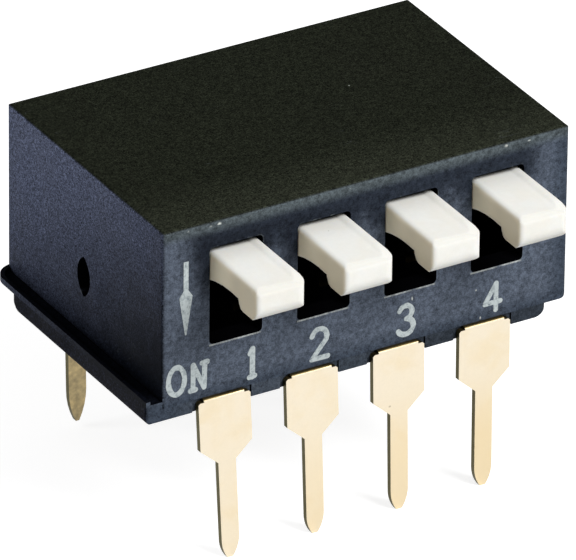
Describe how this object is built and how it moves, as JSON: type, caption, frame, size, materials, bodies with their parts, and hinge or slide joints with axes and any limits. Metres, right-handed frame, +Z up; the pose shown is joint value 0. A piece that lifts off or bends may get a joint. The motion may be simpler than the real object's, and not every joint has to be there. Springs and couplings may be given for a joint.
{
  "type": "piano dip switch",
  "caption": "Through-hole piano-style DIP switch: black cover over a base with two rows of leads, and white levers at the front that tip down to switch on.",
  "frame": {"origin": "centre of the 2 x 4 grid of leads, in the plane of the board's top, where the shoulders of the leads end", "axes": "+X to the right along the front face with the levers, +Y to the back, +Z up out of the board"},
  "size_m": [0.0123, 0.0102, 0.0097],
  "materials": {
    "cover_plastic": "fine matte black moulding",
    "base_plastic": "fine matte black moulding",
    "lever_plastic": "satin warm white moulding",
    "lead_plating": "pale gold plating",
    "pin_steel": "drawn wire",
    "spring_wire": "drawn spring wire",
    "ball_plating": "polished gold plating",
    "marking_ink": "thin worn pad print"
  },
  "bodies": {
    "root": {"base": "base_plastic", "cover": "cover_plastic", "pivot_pin": "pin_steel", "front_lead_1": "lead_plating", "front_lead_2": "lead_plating", "front_lead_3": "lead_plating", "front_lead_4": "lead_plating", "rear_lead_1": "lead_plating", "rear_lead_2": "lead_plating", "rear_lead_3": "lead_plating", "rear_lead_4": "lead_plating"},
    "rocker_1": {"lever_1": "lever_plastic", "contact_spring_1": "spring_wire", "contact_ball_1": "ball_plating"},
    "rocker_2": {"lever_2": "lever_plastic", "contact_spring_2": "spring_wire", "contact_ball_2": "ball_plating"},
    "rocker_3": {"lever_3": "lever_plastic", "contact_spring_3": "spring_wire", "contact_ball_3": "ball_plating"},
    "rocker_4": {"lever_4": "lever_plastic", "contact_spring_4": "spring_wire", "contact_ball_4": "ball_plating"}
  },
  "joints": [
    {"name": "lever_1_turn", "type": "hinge", "parent": "root", "child": "rocker_1", "pos_m": [-0.00343, 0.00025, 0.00378], "axis": [1, 0, 0], "range_deg": [0, 22]},
    {"name": "lever_2_turn", "type": "hinge", "parent": "root", "child": "rocker_2", "pos_m": [-0.00089, 0.00025, 0.00378], "axis": [1, 0, 0], "range_deg": [0, 22]},
    {"name": "lever_3_turn", "type": "hinge", "parent": "root", "child": "rocker_3", "pos_m": [0.00166, 0.00025, 0.00378], "axis": [1, 0, 0], "range_deg": [0, 22]},
    {"name": "lever_4_turn", "type": "hinge", "parent": "root", "child": "rocker_4", "pos_m": [0.00419, 0.00025, 0.00378], "axis": [1, 0, 0], "range_deg": [0, 22]}
  ]
}
